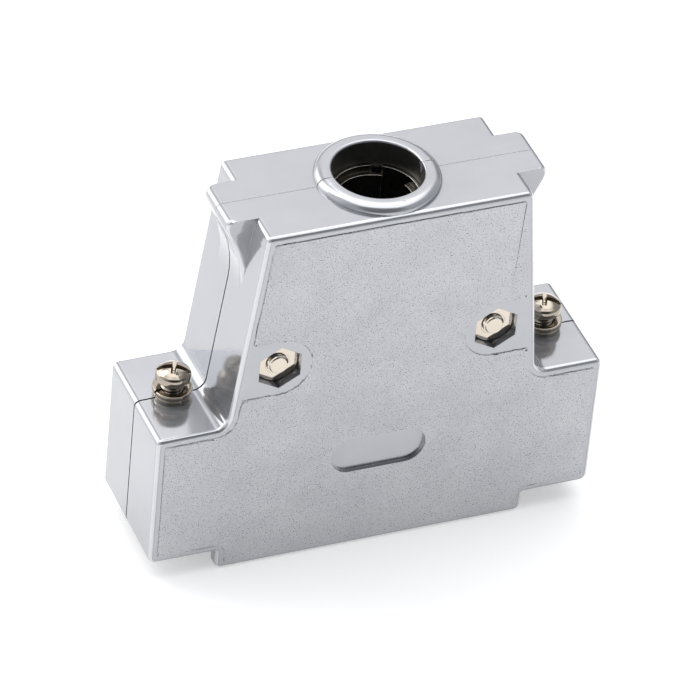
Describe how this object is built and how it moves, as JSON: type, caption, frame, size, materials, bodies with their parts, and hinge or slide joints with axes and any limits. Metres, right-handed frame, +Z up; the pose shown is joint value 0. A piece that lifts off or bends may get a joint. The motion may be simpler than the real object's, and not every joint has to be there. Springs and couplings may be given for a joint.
{
  "type": "d-sub connector hood",
  "caption": "Two-part metal hood for a 25-way D-sub cable connector, with a straight cable entry on top, captive jackscrews on both shoulders and nested cable ferrules.",
  "frame": {"origin": "middle of the face that the foot stands on, on the parting plane", "axes": "+X across the jackscrews, +Y through the shells from front to back, +Z up along the cable"},
  "size_m": [0.0562, 0.016, 0.0496],
  "materials": {
    "plated_shell": "bright plated zinc, satin eroded texture on the front and back fields",
    "nickel_screw": "bright nickel plated steel",
    "nickel_nut": "nickel plated steel",
    "ferrule_strip": "nickel plated strip"
  },
  "bodies": {
    "root": {"front_shell": "plated_shell", "back_shell": "plated_shell", "left_case_screw": "nickel_screw", "right_case_screw": "nickel_screw", "left_case_nut": "nickel_nut", "right_case_nut": "nickel_nut", "left_flat_washer": "nickel_screw", "right_flat_washer": "nickel_screw", "outer_ferrule": "ferrule_strip", "inner_ferrule": "ferrule_strip"},
    "left_washer_turn": {"left_lock_washer": "nickel_screw"},
    "left_screw": {"left_jackscrew": "nickel_screw"},
    "right_washer_turn": {"right_lock_washer": "nickel_screw"},
    "right_screw": {"right_jackscrew": "nickel_screw"}
  },
  "joints": [
    {"name": "left_screw_spin", "type": "hinge", "parent": "root", "child": "left_washer_turn", "pos_m": [-0.02352, 0, 0.022], "axis": [0, 0, 1], "continuous": true},
    {"name": "left_screw_lift", "type": "slide", "parent": "left_washer_turn", "child": "left_screw", "axis": [0, 0, 1], "range_m": [-0.001, 0.004]},
    {"name": "right_screw_spin", "type": "hinge", "parent": "root", "child": "right_washer_turn", "pos_m": [0.02352, 0, 0.022], "axis": [0, 0, 1], "continuous": true},
    {"name": "right_screw_lift", "type": "slide", "parent": "right_washer_turn", "child": "right_screw", "axis": [0, 0, 1], "range_m": [-0.001, 0.004]}
  ]
}
